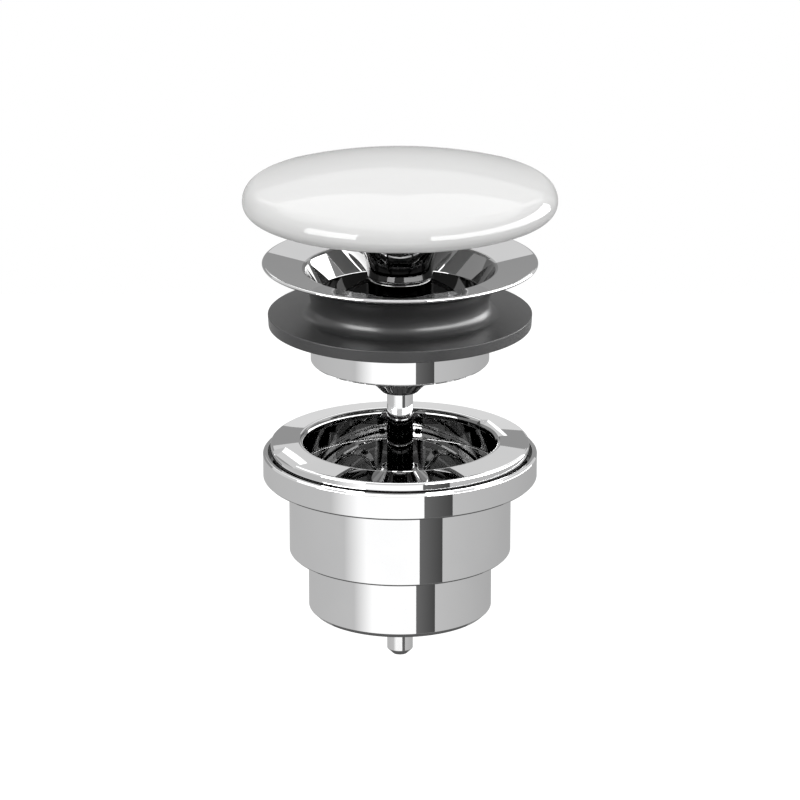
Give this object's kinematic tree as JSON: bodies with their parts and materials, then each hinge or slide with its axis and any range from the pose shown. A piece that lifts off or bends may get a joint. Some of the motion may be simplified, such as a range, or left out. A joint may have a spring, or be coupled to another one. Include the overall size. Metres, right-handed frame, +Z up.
{
  "type": "basin waste",
  "caption": "Free-flow basin waste: ceramic cap on a flared stem, dished flange with hat-shaped gasket, ribbed strainer hub, long centre screw and stepped lower body.",
  "frame": {"origin": "on the axis of the waste, in the plane of the flange gasket's underside, where it sits on the basin", "axes": "+Z up along the axis of the waste, from the outlet to the cap; -Y faces the viewer of the picture"},
  "size_m": [0.0716, 0.0716, 0.1184],
  "materials": {
    "ceramic": "glossy white glaze",
    "chrome": "mirror chrome plate on brass",
    "steel": "bright stainless steel",
    "rubber": "smooth black moulded rubber",
    "silicone": "grey silicone"
  },
  "bodies": {
    "upper_part": {"flange": "chrome", "flange_gasket": "rubber", "strainer_cup": "chrome", "strainer_seal": "rubber", "hub_sleeve": "chrome", "screw_washer": "steel", "screw_seal": "rubber"},
    "plug_rings": {"stem_o_rings": "rubber"},
    "cap": {"ceramic_cap": "ceramic", "cap_pad": "silicone", "cap_stem": "chrome"},
    "screw": {"centre_screw": "steel"},
    "lower_body": {"clamp_ring": "chrome", "clamp_seal": "rubber", "lower_cup": "chrome", "tail_piece": "chrome", "tail_seal": "rubber", "tail_lock_ring": "steel", "outlet_spider": "chrome", "spider_snap_ring": "steel", "thread_insert": "steel"}
  },
  "joints": [
    {"name": "cap_lift", "type": "slide", "parent": "upper_part", "child": "plug_rings", "axis": [0, 0, 1], "range_m": [0, 0.035]},
    {"name": "cap_turn", "type": "hinge", "parent": "plug_rings", "child": "cap", "pos_m": [0, 0, 0.0115], "axis": [0, 0, 1], "continuous": true},
    {"name": "clamp_travel", "type": "slide", "parent": "upper_part", "child": "lower_body", "axis": [0, 0, 1], "range_m": [0, 0.022]},
    {"name": "screw_turn", "type": "hinge", "parent": "upper_part", "child": "screw", "pos_m": [0, 0, -0.0102], "axis": [0, 0, 1], "range_deg": [-7920, 0]}
  ],
  "couplings": [
    {"joint": "screw_turn", "follows": "clamp_travel", "rad_per_m": -6283.2}
  ]
}
